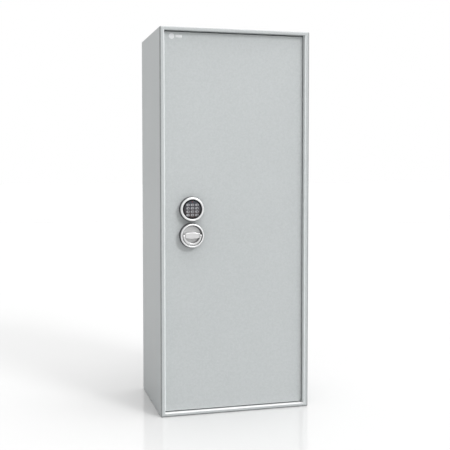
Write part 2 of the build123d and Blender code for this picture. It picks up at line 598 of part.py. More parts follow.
def keys():
    """Twelve keys: rounded cap, flange behind the face, and a plunger towards its switch."""
    width, height = KEY_SIZE
    back = KEYPAD_FACE + FACE_SHEET
    cap_front, flange_front = RING_FRONT + 1, back + 0.05
    for name, x, z in key_places():
        cap = seen_from_front(RectangleRounded(width, height, 3), x, z, flange_front, flange_front - cap_front)
        cap = fillet(edges_at_y(cap, cap_front), 0.7)
        flange = seen_from_front(RectangleRounded(width + 1.4, height + 1.4, 3.7), x, z, flange_front + 0.8, 0.8)
        save(name, cap + flange + bar_along_y(x, z, 2, flange_front + 0.8, BOARD_FRONT - 0.9))


cabinet_panels()
cabinet_lining()
door_pivots()
shelf_rails()
for number, shelf_top in enumerate(SHELF_TOPS, start=1):
    save(f"shelf_{number}", shelf(shelf_top))
door_leaf()
dog_bar()
bolt_guides()
spindle_bush()
blank_badge()
handle_ring()
handle_rotor()
handle_bail()
cam_disc()
side_bolts()
save("upper_rod", end_rod(1, STOP_HIGH))
save("lower_rod", end_rod(-1, STOP_LOW))
lock()
mechanism_cover()
keypad_housing()
keys()
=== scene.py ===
"""Cabinet safe in light grey powder coat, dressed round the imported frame."""

import json
from math import cos, pi, radians, sin, sqrt

import bpy
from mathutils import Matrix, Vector


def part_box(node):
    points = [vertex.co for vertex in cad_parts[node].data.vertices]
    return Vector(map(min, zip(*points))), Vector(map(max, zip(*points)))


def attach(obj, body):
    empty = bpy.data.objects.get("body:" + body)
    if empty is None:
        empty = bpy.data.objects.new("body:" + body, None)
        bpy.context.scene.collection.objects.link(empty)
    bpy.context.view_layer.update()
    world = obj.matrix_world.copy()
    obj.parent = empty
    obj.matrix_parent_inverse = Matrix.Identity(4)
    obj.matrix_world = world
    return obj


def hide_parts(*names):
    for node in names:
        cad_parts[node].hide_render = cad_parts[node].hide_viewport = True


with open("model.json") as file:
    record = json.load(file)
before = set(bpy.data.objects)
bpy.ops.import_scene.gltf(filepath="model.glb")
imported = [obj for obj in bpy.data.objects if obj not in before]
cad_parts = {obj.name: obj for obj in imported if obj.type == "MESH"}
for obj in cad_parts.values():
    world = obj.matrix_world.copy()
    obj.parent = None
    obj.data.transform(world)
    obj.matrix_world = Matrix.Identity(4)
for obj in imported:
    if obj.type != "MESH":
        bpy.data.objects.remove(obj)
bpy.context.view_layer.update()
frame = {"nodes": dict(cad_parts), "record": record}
MM = 0.001
THROUGH = 0.01                      # how far a cutter stands out past what it cuts


# ---------------------------------------------------------------- places taken from the frame

def middle(node):
    low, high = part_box(node)
    return (low + high) / 2


KEYPAD = middle("keypad_ring")
HANDLE = middle("handle_ring")
DOOR_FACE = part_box("door_pan")[0].y
SIDE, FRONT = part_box("left_side_panel")[0].x * -1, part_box("left_side_panel")[0].y
MID_HEIGHT = middle("left_side_panel").z
JAMB_WIDTH, SILL_WIDTH = 16 * MM, 11.5 * MM
JAMB, JAMB_UP = SIDE - JAMB_WIDTH, MID_HEIGHT - SILL_WIDTH
DOOR_HALF, DOOR_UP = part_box("door_pan")[1].x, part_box("door_pan")[1].z - MID_HEIGHT

RING_RADIUS = (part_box("keypad_ring")[1].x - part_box("keypad_ring")[0].x) / 2
RING_BAND = 7.0 * MM                # how far back the bright rings reach
BRIGHT_RADIUS = RING_RADIUS - 1.4 * MM
KEYPAD_HOLE = 33.5 * MM
RECESS = 35 * MM
FACE_THICK = 2.5 * MM
CAP_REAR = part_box("keypad_face")[0].y + FACE_THICK
KEY_FLANGE, KEY_CORNER = 0.7 * MM, 3.0 * MM
SQUARE_HALF = 5.0 * MM              # the spindle's square end

BAIL_THICK = 5 * MM
BAIL_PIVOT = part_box("keypad_ring")[0].y + 6 * MM
BAIL_FRONT, BAIL_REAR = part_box("handle_bar")[0].y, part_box("handle_bar")[0].y + BAIL_THICK

SIGN_SIZE, SIGN_ASIDE = 7.2 * MM, Vector((1.3, 0, -0.4)) * MM
KEY_LEGENDS = {f"key_{digit}": digit for digit in "123456789"}
KEY_LEGENDS |= {"key_star": "*", "key_0": "0", "key_hash": "#"}

# every rod guide: its height and half width in mm, and the way its foot points
ROD_GUIDES = ((1258, 14, -1), (932, 10, -1), (388, 10, 1), (62, 14, 1))


# ---------------------------------------------------------------- node helpers

def new_material(name):
    material = bpy.data.materials.new(name)
    material.use_nodes = True
    shader = material.node_tree.nodes["Principled BSDF"]
    return material, material.node_tree, shader


def object_coordinates(tree, stretch=(1, 1, 1)):
    place = tree.nodes.new("ShaderNodeTexCoord")
    mapping = tree.nodes.new("ShaderNodeMapping")
    mapping.inputs["Scale"].default_value = stretch
    tree.links.new(place.outputs["Object"], mapping.inputs["Vector"])
    return mapping.outputs["Vector"]


def noise(tree, where, scale, detail=3.0):
    node = tree.nodes.new("ShaderNodeTexNoise")
    node.inputs["Scale"].default_value = scale
    node.inputs["Detail"].default_value = detail
    node.inputs["Roughness"].default_value = 0.55
    tree.links.new(where, node.inputs["Vector"])
    return node.outputs["Fac"]


def spread(tree, value, low, high, start=0.0, end=1.0):
    """Map the range from start to end onto low to high."""
    node = tree.nodes.new("ShaderNodeMapRange")
    node.inputs["From Min"].default_value = start
    node.inputs["From Max"].default_value = end
    node.inputs["To Min"].default_value = low
    node.inputs["To Max"].default_value = high
    tree.links.new(value, node.inputs["Value"])
    return node.outputs["Result"]


def ramp_from(tree, value, edge, start, end):
    """0 up to the first place and 1 from the second, both in mm past an edge."""
    return spread(tree, value, 0, 1, edge + start * MM, edge + end * MM)


def two_colours(tree, value, first, second):
    node = tree.nodes.new("ShaderNodeMix")
    node.data_type = "RGBA"
    node.inputs["A"].default_value = (*first, 1)
    node.inputs["B"].default_value = (*second, 1)
    tree.links.new(value, node.inputs["Factor"])
    return node.outputs["Result"]


def blended(tree, value, colour, second):
    """One colour laid over a changing one where the value says."""
    node = tree.nodes.new("ShaderNodeMix")
    node.data_type = "RGBA"
    tree.links.new(colour, node.inputs["A"])
    node.inputs["B"].default_value = (*second, 1)
    tree.links.new(value, node.inputs["Factor"])
    return node.outputs["Result"]


def bump(tree, shader, height, strength, distance):
    node = tree.nodes.new("ShaderNodeBump")
    node.inputs["Strength"].default_value = strength
    node.inputs["Distance"].default_value = distance
    tree.links.new(height, node.inputs["Height"])
    tree.links.new(node.outputs["Normal"], shader.inputs["Normal"])


def split(tree, where):
    parts = tree.nodes.new("ShaderNodeSeparateXYZ")
    tree.links.new(where, parts.inputs["Vector"])
    return parts.outputs["X"], parts.outputs["Y"], parts.outputs["Z"]


def combine(tree, how, first, second=None):
    node = tree.nodes.new("ShaderNodeMath")
    node.operation = how
    for socket, value in zip(node.inputs, (first, second)):
        if value is None:
            continue
        if isinstance(value, (int, float)):
            socket.default_value = value
        else:
            tree.links.new(value, socket)
    return node.outputs["Value"]


def from_middle(tree, where):
    """How far a place is across and up from the cabinet's middle, and its depth and height."""
    x, y, z = split(tree, where)
    across = combine(tree, "ABSOLUTE", x)
    upright = combine(tree, "ABSOLUTE", combine(tree, "SUBTRACT", z, MID_HEIGHT))
    return across, upright, y, z


# ---------------------------------------------------------------- finishes

def frame_edge_light(tree, where):
    """Where light is painted on the frame: a painted highlight on the jambs' inner rim, painted
    light on the jambs' inner faces, and painted shade on the outer bends and the bottom edge.
    """
    across, upright, y, z = from_middle(tree, where)
    at_front = ramp_from(tree, y, FRONT, 4.5, 2.5)
    # painted highlight: the jambs' inner rim at the front
    rim_x = ramp_from(tree, across, JAMB, 3.0, 1.8)
    rim_z = ramp_from(tree, upright, JAMB_UP, 1.0, -1.0)
    rim = combine(tree, "MULTIPLY", combine(tree, "MINIMUM", rim_x, rim_z), at_front)
    # painted light: the jambs' inner faces, which lie in the recess's shade, are lifted to the
    # face's tone
    on_jamb = combine(tree, "MULTIPLY", ramp_from(tree, across, JAMB, 0.6, 0.2),
                      ramp_from(tree, across, JAMB, -1.2, -0.6))
    inside = combine(tree, "MULTIPLY", on_jamb, ramp_from(tree, y, FRONT, 1.0, 2.0))
    # painted shade: the outer bends and the bottom edge are darkened
    bend_x = ramp_from(tree, across, SIDE, -5.4, -3.6)
    bend_z = ramp_from(tree, z, 0, 5.4, 3.8)
    bend = combine(tree, "MULTIPLY", combine(tree, "MAXIMUM", bend_x, bend_z), at_front)
    return combine(tree, "MAXIMUM", rim, inside), bend


def door_edge_light(tree, where):
    """Where a highlight is painted along the door's rounded edge; no shade is painted on the door.
    """
    across, upright, y, _ = from_middle(tree, where)
    edge_x = ramp_from(tree, across, DOOR_HALF, -3.0, -1.6)
    edge_z = ramp_from(tree, upright, DOOR_UP, -3.0, -1.6)
    at_face = ramp_from(tree, y, DOOR_FACE, 3.0, 1.5)
    return combine(tree, "MULTIPLY", combine(tree, "MAXIMUM", edge_x, edge_z), at_face), None


def powder_coat(name, light, dark, grain=420.0, depth=0.00025, edges=None):
    """Powder coat: fine orange peel, a faint drift in tone, an uneven satin gloss, and, where
    asked, a painted highlight and painted shade along the edges.
    """
    material, tree, shader = new_material(name)
    where = object_coordinates(tree)
    cells = tree.nodes.new("ShaderNodeTexVoronoi")
    cells.feature = "SMOOTH_F1"
    cells.inputs["Scale"].default_value = grain
    cells.inputs["Smoothness"].default_value = 0.6
    tree.links.new(where, cells.inputs["Vector"])
    fine_share = 0.35
    peel = tree.nodes.new("ShaderNodeMath")
    peel.operation = "MULTIPLY_ADD"
    peel.inputs[1].default_value = fine_share
    tree.links.new(noise(tree, where, grain * 1.7, 2.0), peel.inputs[0])
    tree.links.new(cells.outputs["Distance"], peel.inputs[2])
    bump(tree, shader, peel.outputs["Value"], 0.55, depth)
    drift = noise(tree, where, 2.2, 4.0)
    grains = noise(tree, where, grain * 0.45, 2.0)
    shade = combine(tree, "ADD", spread(tree, grains, -0.35, 1.05),
                    spread(tree, drift, -0.25, 0.35))
    colour = two_colours(tree, shade, dark, light)
    if edges:
        # the edge masks lay a painted highlight and painted shade over the coat, broken up by
        # noise
        painted_highlight, painted_shade = edges(tree, where)
        highlight_tone = [min(0.8, c * 1.75) for c in light]
        shade_tone = [c * 0.45 for c in dark]
        patchy = spread(tree, noise(tree, where, 45.0, 3.0), 0.55, 1.0)
        colour = blended(tree, combine(tree, "MULTIPLY", painted_highlight, patchy), colour, highlight_tone)
        if painted_shade:
            colour = blended(tree, combine(tree, "MULTIPLY", painted_shade, patchy), colour, shade_tone)
    tree.links.new(colour, shader.inputs["Base Color"])
    tree.links.new(spread(tree, grains, 0.36, 0.46), shader.inputs["Roughness"])
    return material


def metal(name, light, dark, stretch=(1, 1, 1), scale=900.0, gloss=(0.25, 0.4)):
    """Metal with a drawn or turned grain, faint stains and uneven gloss."""
    material, tree, shader = new_material(name)
    shader.inputs["Metallic"].default_value = 1.0
    where = object_coordinates(tree, stretch)
    lines = noise(tree, where, scale, 3.0)
    stains = noise(tree, object_coordinates(tree), 35.0, 4.0)
    tree.links.new(two_colours(tree, stains, dark, light), shader.inputs["Base Color"])
    tree.links.new(spread(tree, lines, *gloss), shader.inputs["Roughness"])
    bump(tree, shader, lines, 0.3, 0.00004)
    return material


def turned_metal(name, centre, light, dark, gloss):
    """Metal turned on a lathe: rings about an axis square to the door."""
    material, tree, shader = new_material(name)
    shader.inputs["Metallic"].default_value = 1.0
    place = tree.nodes.new("ShaderNodeTexCoord")
    shift = tree.nodes.new("ShaderNodeMapping")
    shift.inputs["Location"].default_value = (-centre.x, 0, -centre.z)
    shift.inputs["Scale"].default_value = (1, 0, 1)
    tree.links.new(place.outputs["Object"], shift.inputs["Vector"])
    radius = tree.nodes.new("ShaderNodeVectorMath")
    radius.operation = "LENGTH"
    tree.links.new(shift.outputs["Vector"], radius.inputs[0])
    rings = tree.nodes.new("ShaderNodeTexNoise")
    rings.noise_dimensions = "1D"
    rings.inputs["Scale"].default_value = 2600.0
    rings.inputs["Detail"].default_value = 2.0
    tree.links.new(radius.outputs["Value"], rings.inputs["W"])
    stains = noise(tree, object_coordinates(tree), 60.0, 3.0)
    tree.links.new(two_colours(tree, stains, dark, light), shader.inputs["Base Color"])
    tree.links.new(spread(tree, rings.outputs["Fac"], *gloss), shader.inputs["Roughness"])
    bump(tree, shader, rings.outputs["Fac"], 0.25, 0.00003)
    return material


def moulded(name, light, dark, gloss, grain=1500.0, depth=0.00005, coat=0.0, specular=0.5):
    """Moulded plastic or rubber with a fine spark-eroded grain."""
    material, tree, shader = new_material(name)
    shader.inputs["Specular IOR Level"].default_value = specular
    shader.inputs["Coat Weight"].default_value = coat
    shader.inputs["Coat Roughness"].default_value = 0.12
    where = object_coordinates(tree)
    texture = noise(tree, where, grain, 2.0)
    patches = noise(tree, where, 90.0, 3.0)
    tree.links.new(two_colours(tree, patches, dark, light), shader.inputs["Base Color"])
    tree.links.new(spread(tree, texture, *gloss), shader.inputs["Roughness"])
    bump(tree, shader, texture, 0.3, depth)
    return material


def printed_film(name, upper, middle_tone, lower):
    """Printed keypad film: a painted colour cast of the light, bluish at the top of the pad and
    warm at the bottom, with a fine grain.
    """
    material, tree, shader = new_material(name)
    where = object_coordinates(tree)
    _, _, height = split(tree, where)
    # painted colour cast of the light: bluish at the top, warm at the bottom
    ramp = tree.nodes.new("ShaderNodeValToRGB")
    ramp.color_ramp.elements[0].color = (*lower, 1)
    ramp.color_ramp.elements[1].color = (*upper, 1)
    ramp.color_ramp.elements.new(0.5).color = (*middle_tone, 1)
    reach = 28 * MM
    down_up = spread(tree, height, 0, 1, KEYPAD.z - reach, KEYPAD.z + reach)
    tree.links.new(down_up, ramp.inputs["Fac"])
    tree.links.new(ramp.outputs["Color"], shader.inputs["Base Color"])
    grain = noise(tree, where, 1800.0, 2.0)
    tree.links.new(spread(tree, grain, 0.30, 0.45), shader.inputs["Roughness"])
    bump(tree, shader, grain, 0.3, 0.00004)
    return material


PAINT_LIGHT, PAINT_DARK = (0.440, 0.462, 0.465), (0.372, 0.392, 0.395)
FINISHES = {}


def finish_as(maker, name, *tones, **looks):
    FINISHES[name] = maker(name, *tones, **looks)


def mix_finishes():
    """Every finish: a light and a dark tone, then what its maker takes besides."""
    finish_as(powder_coat, "light_grey_paint", PAINT_LIGHT, PAINT_DARK)
    finish_as(powder_coat, "frame_paint", PAINT_LIGHT, PAINT_DARK, edges=frame_edge_light)
    finish_as(powder_coat, "door_paint", PAINT_LIGHT, PAINT_DARK, edges=door_edge_light)
    finish_as(powder_coat, "inner_grey_paint", (0.40, 0.415, 0.42), (0.365, 0.38, 0.385),
              grain=600, depth=0.0001)
    finish_as(moulded, "filling_board", (0.62, 0.59, 0.50), (0.52, 0.49, 0.42),
              gloss=(0.8, 0.95), grain=400, depth=0.0003)
    finish_as(metal, "zinc_steel", (0.62, 0.64, 0.66), (0.48, 0.50, 0.53),
              stretch=(1, 1, 0.05), scale=700, gloss=(0.28, 0.45))
    finish_as(metal, "bright_steel", (0.66, 0.66, 0.67), (0.56, 0.56, 0.57),
              stretch=(8, 1, 1), scale=500, gloss=(0.18, 0.32))
    finish_as(metal, "bush_brass", (0.70, 0.52, 0.24), (0.58, 0.42, 0.18), gloss=(0.22, 0.35))
    finish_as(turned_metal, "satin_ring", KEYPAD, (0.80, 0.805, 0.805), (0.74, 0.745, 0.75),
              gloss=(0.32, 0.44))
    finish_as(turned_metal, "handle_satin", HANDLE, (0.78, 0.785, 0.785), (0.72, 0.725, 0.73),
              gloss=(0.32, 0.44))
    finish_as(metal, "satin_grip", (0.66, 0.66, 0.66), (0.59, 0.592, 0.595),
              stretch=(0.1, 1, 1), gloss=(0.28, 0.40))
    # near-black band on the dish: painted shadow of the gap round it
    finish_as(moulded, "gap_shade_band", (0.050, 0.050, 0.052), (0.035, 0.035, 0.037),
              gloss=(0.5, 0.65))
    # near-black collar: painted shade for the rings' shaded sides and the shadows at their feet
    finish_as(moulded, "collar_painted_shade", (0.060, 0.060, 0.064), (0.045, 0.045, 0.049),
              gloss=(0.35, 0.5))
    finish_as(turned_metal, "grey_dish", HANDLE, (0.50, 0.50, 0.50), (0.44, 0.442, 0.445),
              gloss=(0.35, 0.5))
    finish_as(moulded, "black_plastic", (0.010, 0.010, 0.012), (0.006, 0.006, 0.008),
              gloss=(0.30, 0.42), specular=0.2)
    finish_as(moulded, "key_rubber", (0.300, 0.300, 0.315), (0.240, 0.240, 0.255),
              gloss=(0.28, 0.40))
    finish_as(moulded, "board_green", (0.02, 0.14, 0.05), (0.015, 0.10, 0.035),
              gloss=(0.3, 0.45), grain=700)
    finish_as(moulded, "cell_wrap", (0.05, 0.06, 0.09), (0.03, 0.04, 0.06),
              gloss=(0.2, 0.3), coat=0.5)
    finish_as(moulded, "led_red", (0.16, 0.040, 0.045), (0.11, 0.025, 0.030),
              gloss=(0.12, 0.22), coat=1.0)
    finish_as(metal, "cast_case", (0.50, 0.51, 0.52), (0.40, 0.41, 0.42),
              scale=400, gloss=(0.4, 0.6))
    finish_as(moulded, "cable_jacket", (0.02, 0.02, 0.02), (0.012, 0.012, 0.012),
              gloss=(0.45, 0.6))
    finish_as(moulded, "sign_ink", (0.012, 0.012, 0.014), (0.008, 0.008, 0.010),
              gloss=(0.3, 0.4))
    finish_as(moulded, "badge_white", (0.60, 0.61, 0.615), (0.55, 0.56, 0.565),
              gloss=(0.25, 0.35))
    # near-white sill strip: a painted highlight along the sill
    finish_as(moulded, "sill_bright", (0.88, 0.88, 0.88), (0.82, 0.82, 0.825),
              gloss=(0.18, 0.3), grain=500)
    finish_as(printed_film, "keypad_film", (0.024, 0.029, 0.040), (0.034, 0.031, 0.038),
              (0.038, 0.022, 0.020))


def dress(thing, finish):
    thing.data.materials.clear()
    thing.data.materials.append(FINISHES[finish])


SLOT_OF = {part["node"]: part["material_slot"] for part in frame["record"]["subparts"]}
# frame and door paint carry a painted highlight and painted shade along their edges
EDGE_LIGHT_FINISH = {"left_side_panel": "frame_paint", "right_side_panel": "frame_paint",
               "top_panel": "frame_paint", "bottom_panel": "frame_paint",
               "door_pan": "door_paint"}


def dress_cad_nodes():
    """Every carried-over node takes its paint with painted edge highlights and shade, or else the
    finish that its slot names.
    """
    for name, node in frame["nodes"].items():
        finish = EDGE_LIGHT_FINISH.get(name, SLOT_OF[name])
        for slot in node.material_slots:
            slot.material = FINISHES[finish]


# ---------------------------------------------------------------- bench tools

def clear_bench():
    """Nothing stays picked, so that the next operator touches only its own piece."""
    if bpy.context.mode != "OBJECT":
        bpy.ops.object.mode_set(mode="OBJECT")
    bpy.ops.object.select_all(action="DESELECT")


def take(thing):
    clear_bench()
    thing.select_set(True)
    bpy.context.view_layer.objects.active = thing


def edit(thing, kind="FACE"):
    take(thing)
    bpy.ops.object.mode_set(mode="EDIT")
    bpy.ops.mesh.select_mode(type=kind)
    bpy.ops.mesh.select_all(action="DESELECT")


def pick_faces(thing, wanted):
    """Pick the faces whose centre and outward direction the test accepts."""
    edit(thing, "FACE")
    bpy.ops.object.mode_set(mode="OBJECT")
    turn = thing.matrix_world.to_3x3().normalized()
    for face in thing.data.polygons:
        outward = (turn @ face.normal).normalized()
        face.select = wanted(thing.matrix_world @ face.center, outward)
    bpy.ops.object.mode_set(mode="EDIT")


def pick_edges(thing, wanted):
    """Pick the edges whose middle and direction the test accepts."""
    edit(thing, "EDGE")
    bpy.ops.object.mode_set(mode="OBJECT")
    points = [thing.matrix_world @ v.co for v in thing.data.vertices]
    for line in thing.data.edges:
        a, b = (points[n] for n in line.vertices)
        line.select = wanted((a + b) / 2, (b - a).normalized())
    bpy.ops.object.mode_set(mode="EDIT")


def add_box(name, low, high):
    """A box to be shaped further, between two corners."""
    clear_bench()
    low, high = Vector(low), Vector(high)
    bpy.ops.mesh.primitive_cube_add(size=1, location=(low + high) / 2, scale=high - low)
    thing = bpy.context.object
    thing.name = name
    bpy.ops.object.transform_apply(location=False, rotation=False, scale=True)
    return thing


def add_rod(name, start, end, radius, sides=48):
    """A round bar to be shaped further, from one point to another."""
    clear_bench()
    start, end = Vector(start), Vector(end)
    turn = (end - start).to_track_quat("Z", "Y").to_euler()
    bpy.ops.mesh.primitive_cylinder_add(vertices=sides, radius=radius,
                                        depth=(end - start).length,
                                        location=(start + end) / 2, rotation=turn)
    thing = bpy.context.object
    thing.name = name
    return thing


def turned(name, axis, profile, sides=96, ring=False):
    """Turn a profile of (radius, y) points about an axis square to the door."""
    clear_bench()
    x, z = axis
    radius, y = profile[0]
    bpy.ops.mesh.primitive_circle_add(vertices=sides, radius=radius, location=(x, y, z),
                                      rotation=(pi / 2, 0, 0))
    thing = bpy.context.object
    thing.name = name
    bpy.ops.object.mode_set(mode="EDIT")
    bpy.ops.mesh.select_mode(type="EDGE")
    bpy.ops.mesh.select_all(action="SELECT")
    path = profile[1:] + ([profile[0]] if ring else [])
    for next_radius, next_y in path:
        bpy.ops.mesh.extrude_edges_move(TRANSFORM_OT_translate={"value": (0, next_y - y, 0)})
        if next_radius == 0:
            bpy.ops.mesh.merge(type="CENTER")
            break
        grow = next_radius / radius
        bpy.ops.transform.resize(value=(grow, 1, grow), center_override=(x, next_y, z))
        radius, y = next_radius, next_y
    bpy.ops.mesh.select_all(action="SELECT")
    bpy.ops.mesh.remove_doubles(threshold=0.000002)
    bpy.ops.mesh.fill_holes(sides=0)
    bpy.ops.mesh.normals_make_consistent(inside=False)
    bpy.ops.object.mode_set(mode="OBJECT")
    return thing


def arc(centre, radius, start, end, steps=6):
    """Points of a rounding in a turned profile, angles in degrees from outwards to the front."""
    turns = [radians(start + (end - start) * n / steps) for n in range(steps + 1)]
    return [(centre[0] + radius * cos(t), centre[1] - radius * sin(t)) for t in turns]


def apply_modifier(thing, kind, **values):
    take(thing)
    modifier = thing.modifiers.new(kind.lower(), kind)
    for name, value in values.items():
        setattr(modifier, name, value)
    bpy.ops.object.modifier_apply(modifier=modifier.name)


def cut(thing, *cutters, how="DIFFERENCE"):
    """Cut pieces away from a piece, or weld them on, and throw the cutters away."""
    for cutter in cutters:
        apply_modifier(thing, "BOOLEAN", operation=how, solver="EXACT", object=cutter)
        bpy.data.objects.remove(cutter)


def soften(thing, width, segments=3, angle=40):
    """Round every edge that turns by more than the angle."""
    apply_modifier(thing, "BEVEL", width=width, segments=segments, limit_method="ANGLE",
                   angle_limit=radians(angle), harden_normals=False)


def join(first, *others):
    clear_bench()
    for thing in (first, *others):
        thing.select_set(True)
    bpy.context.view_layer.objects.active = first
    bpy.ops.object.join()
    return first


def rounded_block(name, low, high, radius):
    """A block with its four edges along Y rounded."""
    thing = add_box(name, low, high)
    pick_edges(thing, lambda place, way: abs(way.y) > 0.9)
    bpy.ops.mesh.bevel(offset=radius, segments=8, affect="EDGES")
    bpy.ops.object.mode_set(mode="OBJECT")
    return thing


def facing_front(way):
    return way.y < -0.9


def settle(thing, body, slot, *nodes, finish=None, smooth=35):
    """Fix a finished piece's place in its mesh, shade and dress it, and hang it on its body."""
    take(thing)
    bpy.ops.object.transform_apply(location=True, rotation=True, scale=True)
    bpy.ops.object.shade_smooth_by_angle(angle=radians(smooth))
    dress(thing, finish or slot)
    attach(thing, body)
    if nodes:
        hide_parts(*nodes)
    return thing


# ---------------------------------------------------------------- keypad

def keypad_ring():
    """Bright ring: drawn cup with a rounded rim, a fine step outside and a rolled inner edge."""
    low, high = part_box("keypad_ring")
    front, rear, outer, inner = low.y, high.y, BRIGHT_RADIUS, KEYPAD_HOLE
    rim, roll, wall, bevel, floor = 3.4 * MM, 1.5 * MM, 1.4 * MM, 0.3 * MM, 4.4 * MM
    profile = [(outer - wall, front + RING_BAND), (outer - bevel, front + RING_BAND),
               (outer, front + RING_BAND - bevel)]
    profile += arc((outer - rim, front + rim), rim, 0, 90, 8)
    profile += arc((inner + roll, front + roll), roll, 90, 180, 5)
    profile += [(inner, front + floor), (outer - wall, front + floor)]
    ring = turned("keypad_ring_bright", (KEYPAD.x, KEYPAD.z), profile, 128, ring=True)
    settle(ring, "door", "satin_ring", "keypad_ring")
    collar("keypad_collar", KEYPAD, front, rear, outer - wall, "keypad_ring")


def collar(name, centre, front, rear, inner, node):
    """Near-black collar behind a bright ring: a shadow groove, a straight wall and a foot lip; its
    near-black colour is painted shade for the ring's shaded side and the shadow at its foot.
    """
    groove = 0.5 * MM
    outer = RING_RADIUS - groove
    head = front + RING_BAND
    hair = 0.02 * MM
    profile = [(inner, rear), (outer + groove, rear), (outer + groove, rear - 0.9 * MM),
               (outer, rear - 1.4 * MM), (outer, head + 1.2 * MM),
               (outer - groove, head + 0.9 * MM), (outer - groove, head + hair),
               (inner, head + hair)]
    wall = turned(name, (centre.x, centre.z), profile, 128, ring=True)
    settle(wall, "door", "satin_ring", node, finish="collar_painted_shade")


def keypad_face():
    """Black face with a sunk border and a raised pad, and the printed film on the pad."""
    low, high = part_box("keypad_face")
    front, rear = low.y, high.y
    edge = KEYPAD_HOLE - 0.12 * MM
    pad = edge - 5.2 * MM
    edge_round, pad_round, border = 0.6 * MM, 0.8 * MM, 1.0 * MM
    profile = [(edge, rear), (edge, front + 1.2 * MM)]
    profile += arc((edge - edge_round, front + 0.8 * MM), edge_round, 0, 90, 3)
    profile += [(pad + pad_round, front + border)]
    profile += arc((pad, front + pad_round), pad_round, 0, 90, 4)
    profile += [(0, front)]
    face = turned("keypad_face_black", (KEYPAD.x, KEYPAD.z), profile, 128)
    cut(face, *key_holes(), lamp_hole())
    settle(face, "door", "black_plastic", "keypad_face", smooth=40)
    film_edge, film_thick = pad - 0.2 * MM, 0.30 * MM
    film_profile = [(film_edge, front), (film_edge, front - 0.22 * MM),
                    (pad - 0.5 * MM, front - film_thick), (0, front - film_thick)]
    film = turned("keypad_film", (KEYPAD.x, KEYPAD.z), film_profile, 128)
    cut(film, *key_holes(), lamp_hole())
    settle(film, "door", "black_plastic", finish="keypad_film", smooth=40)


def key_holes():
    gap, corner = Vector((0.15, 4.0, 0.15)) * MM, 3.1 * MM
    boxes = [key_cap_box(name) for name in KEY_LEGENDS]
    return [rounded_block("key_hole", low - gap, high + gap, corner) for low, high in boxes]


def lamp_hole():
    place, reach = middle("led_lens"), Vector((0, 8 * MM, 0))
    return add_rod("lamp_hole", place - reach, place + reach, 2.05 * MM, 32)


def key_cap_box(name):
    """The cap of a key: its node's box without the wider flange behind the face."""
    low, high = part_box(name)
    low = Vector((low.x + KEY_FLANGE, low.y, low.z + KEY_FLANGE))
    high = Vector((high.x - KEY_FLANGE, CAP_REAR, high.z - KEY_FLANGE))
    return low, high


def key(name, sign, body):
    """Rubber key: round-cornered cap with a soft shoulder, a dished top and a moulded sign."""
    low, high = key_cap_box(name)
    cap = rounded_block(name + "_cap", low, high, KEY_CORNER)
    centre = (low + high) / 2
    half_x, half_z = (high.x - low.x) / 2, (high.z - low.z) / 2
    hair, in_corner = 0.00001, 2.9 * MM

    def on_top(place, way):
        near = max(abs(place.x - centre.x), abs(place.z - centre.z)) < 0.001
        return facing_front(way) and near

    def on_shoulder(place, way):
        """On the front's outline: along a side, or out in a rounded corner."""
        past_x = abs(place.x - centre.x) - half_x
        past_z = abs(place.z - centre.z) - half_z
        corner = sqrt(max(0, past_x + KEY_CORNER) ** 2 + max(0, past_z + KEY_CORNER) ** 2)
        outline = abs(past_x) < hair or abs(past_z) < hair or corner > in_corner
        return abs(place.y - low.y) < hair and outline

    pick_faces(cap, lambda place, way: facing_front(way))
    bpy.ops.mesh.inset(thickness=0.75 * MM, depth=0)
    bpy.ops.object.mode_set(mode="OBJECT")
    pick_faces(cap, on_top)
    for step, sink in ((0.9, 0.28), (0.7, 0.1)):
        bpy.ops.mesh.inset(thickness=step * MM, depth=-sink * MM)
    pick_edges(cap, on_shoulder)
    bpy.ops.mesh.bevel(offset=0.6 * MM, segments=4, affect="EDGES")
    bpy.ops.object.mode_set(mode="OBJECT")
    settle(cap, body, "key_rubber", name, smooth=50)
    legend(name, sign, body, centre, low.y)


def legend(name, sign, body, centre, front):
    """Generic sign standing a hair above the dished top of its key."""
    clear_bench()
    bpy.ops.object.text_add(location=(0, 0, 0))
    text = bpy.context.object
    text.data.body = sign
    text.data.size = SIGN_SIZE
    text.data.align_x = "CENTER"
    text.data.align_y = "CENTER"
    text.data.extrude = 0.22 * MM
    text.data.offset = 0.32 * MM
    text.data.resolution_u = 4
    bpy.ops.object.convert(target="MESH")
    text = bpy.context.object
    text.name = name + "_sign"
    corners = [v.co for v in text.data.vertices]
    shift_x = (min(c.x for c in corners) + max(c.x for c in corners)) / 2
    shift_y = (min(c.y for c in corners) + max(c.y for c in corners)) / 2
    sunk = 0.18 * MM
    text.rotation_euler = (pi / 2, 0, 0)
    text.location = (centre.x - shift_x + SIGN_ASIDE.x, front + sunk,
                     centre.z - shift_y + SIGN_ASIDE.z)
    edit(text)
    bpy.ops.mesh.select_all(action="SELECT")
    bpy.ops.mesh.remove_doubles(threshold=0.000001)
    bpy.ops.object.mode_set(mode="OBJECT")
    settle(text, body, "key_rubber", finish="sign_ink", smooth=30)


def lamp():
    """Domed lens of the signal lamp."""
    low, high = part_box("led_lens")
    centre = (low + high) / 2
    radius, dome = (high.x - low.x) / 2, 0.5 * MM
    profile = [(radius, high.y), (radius, low.y + dome)]
    profile += [(radius * cos(t), low.y + dome - dome * sin(t)) for t in (0.35, 0.7, 1.05, 1.35)]
    profile += [(0, low.y)]
    lens = turned("lamp_lens", (centre.x, centre.z), profile, 40)
    settle(lens, "door", "led_red", "led_lens", smooth=60)


# ---------------------------------------------------------------- handle

